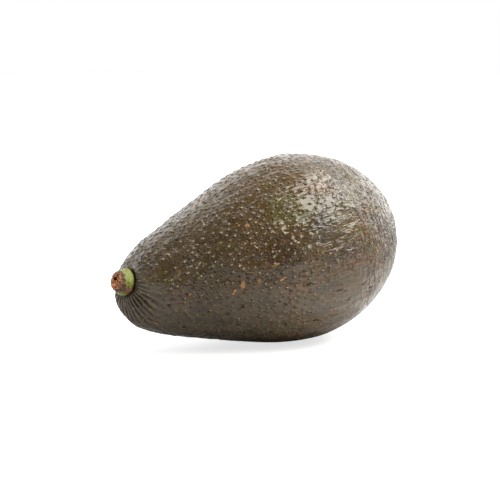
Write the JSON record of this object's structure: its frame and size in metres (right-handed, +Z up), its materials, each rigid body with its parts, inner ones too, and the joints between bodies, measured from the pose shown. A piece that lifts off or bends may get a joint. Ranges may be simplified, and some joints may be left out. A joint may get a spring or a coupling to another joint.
{
  "type": "avocado",
  "caption": "Whole ripe avocado lying on its side: a pear-shaped fruit with dark pebbled skin, pleated round the stub of its stalk.",
  "frame": {"origin": "centre of the box's foot, on the surface that the fruit lies on", "axes": "+X from the stalk's end towards the broad blossom end, -Y towards the side that the stalk leans to, +Z up"},
  "size_m": [0.1086, 0.0668, 0.0669],
  "materials": {
    "skin": "dark olive-brown waxy peel, pebbled, half gloss, with small pale and rusty specks",
    "stalk": "rough: green collar, grey-brown bark and a torn rust-brown end"
  },
  "bodies": {
    "root": {"fruit": "skin", "stalk": "stalk"}
  },
  "joints": []
}
